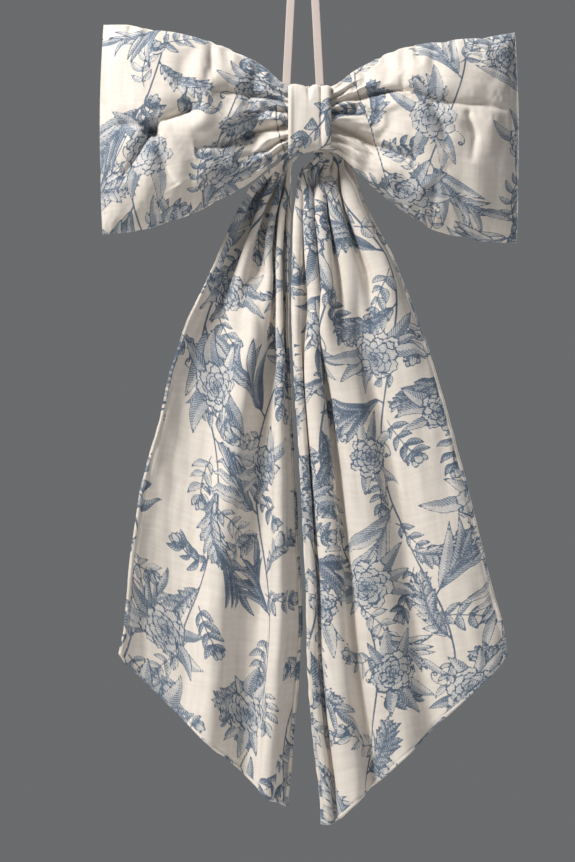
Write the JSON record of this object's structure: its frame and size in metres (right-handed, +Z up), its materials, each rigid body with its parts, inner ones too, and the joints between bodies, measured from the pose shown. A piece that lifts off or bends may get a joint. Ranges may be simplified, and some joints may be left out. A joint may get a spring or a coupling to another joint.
{
  "type": "gift bow",
  "caption": "Ready-made fabric bow with stuffed loops, a flat knot band, long pleated tails with slanted ends and a ribbon to hang it by.",
  "frame": {"origin": "inside top of the hanging ribbon's loop, where it rests on its hook", "axes": "+Z up, -Y towards the front of the bow, +X to the viewer's right from the front"},
  "size_m": [0.31, 0.0559, 0.6549],
  "materials": {
    "printed_linen": "washed linen with a blue floral print",
    "ribbon": "soft satin ribbon, pale pinkish beige",
    "thread": "doubled sewing thread, natural",
    "wadding": "loose polyester fibre"
  },
  "bodies": {
    "ribbon": {"hanging_ribbon": "ribbon"},
    "bow": {"bow_front_panel": "printed_linen", "bow_back_panel": "printed_linen", "left_loop_wadding": "wadding", "right_loop_wadding": "wadding", "waist_gather_thread": "thread", "knot_band": "printed_linen", "band_closing_stitches": "thread", "turning_gap_stitches": "thread", "ribbon_ends": "ribbon", "ribbon_tack_stitches": "thread", "tail_tack_stitches": "thread"},
    "left_neck": {"left_tail_head": "printed_linen", "left_tail_gather_thread": "thread"},
    "left_tail": {"left_tail_front": "printed_linen", "left_tail_back": "printed_linen"},
    "right_neck": {"right_tail_head": "printed_linen", "right_tail_gather_thread": "thread"},
    "right_tail": {"right_tail_front": "printed_linen", "right_tail_back": "printed_linen"}
  },
  "joints": [
    {"name": "bow_tilt", "type": "hinge", "parent": "ribbon", "child": "bow", "pos_m": [0, 0, -0.10325], "axis": [-1, 0, 0], "range_deg": [-20, 45]},
    {"name": "left_tail_swing", "type": "hinge", "parent": "bow", "child": "left_neck", "pos_m": [-0.006, 0.007, -0.1411], "axis": [0, 1, 0], "range_deg": [0, 8]},
    {"name": "left_tail_lift", "type": "hinge", "parent": "left_neck", "child": "left_tail", "pos_m": [-0.006, 0.01145, -0.152], "axis": [-1, 0, 0], "range_deg": [-10, 18]},
    {"name": "right_tail_swing", "type": "hinge", "parent": "bow", "child": "right_neck", "pos_m": [0.016, 0.007, -0.1411], "axis": [0, -1, 0], "range_deg": [0, 8]},
    {"name": "right_tail_lift", "type": "hinge", "parent": "right_neck", "child": "right_tail", "pos_m": [0.016, 0.00835, -0.152], "axis": [-1, 0, 0], "range_deg": [-10, 18]}
  ]
}
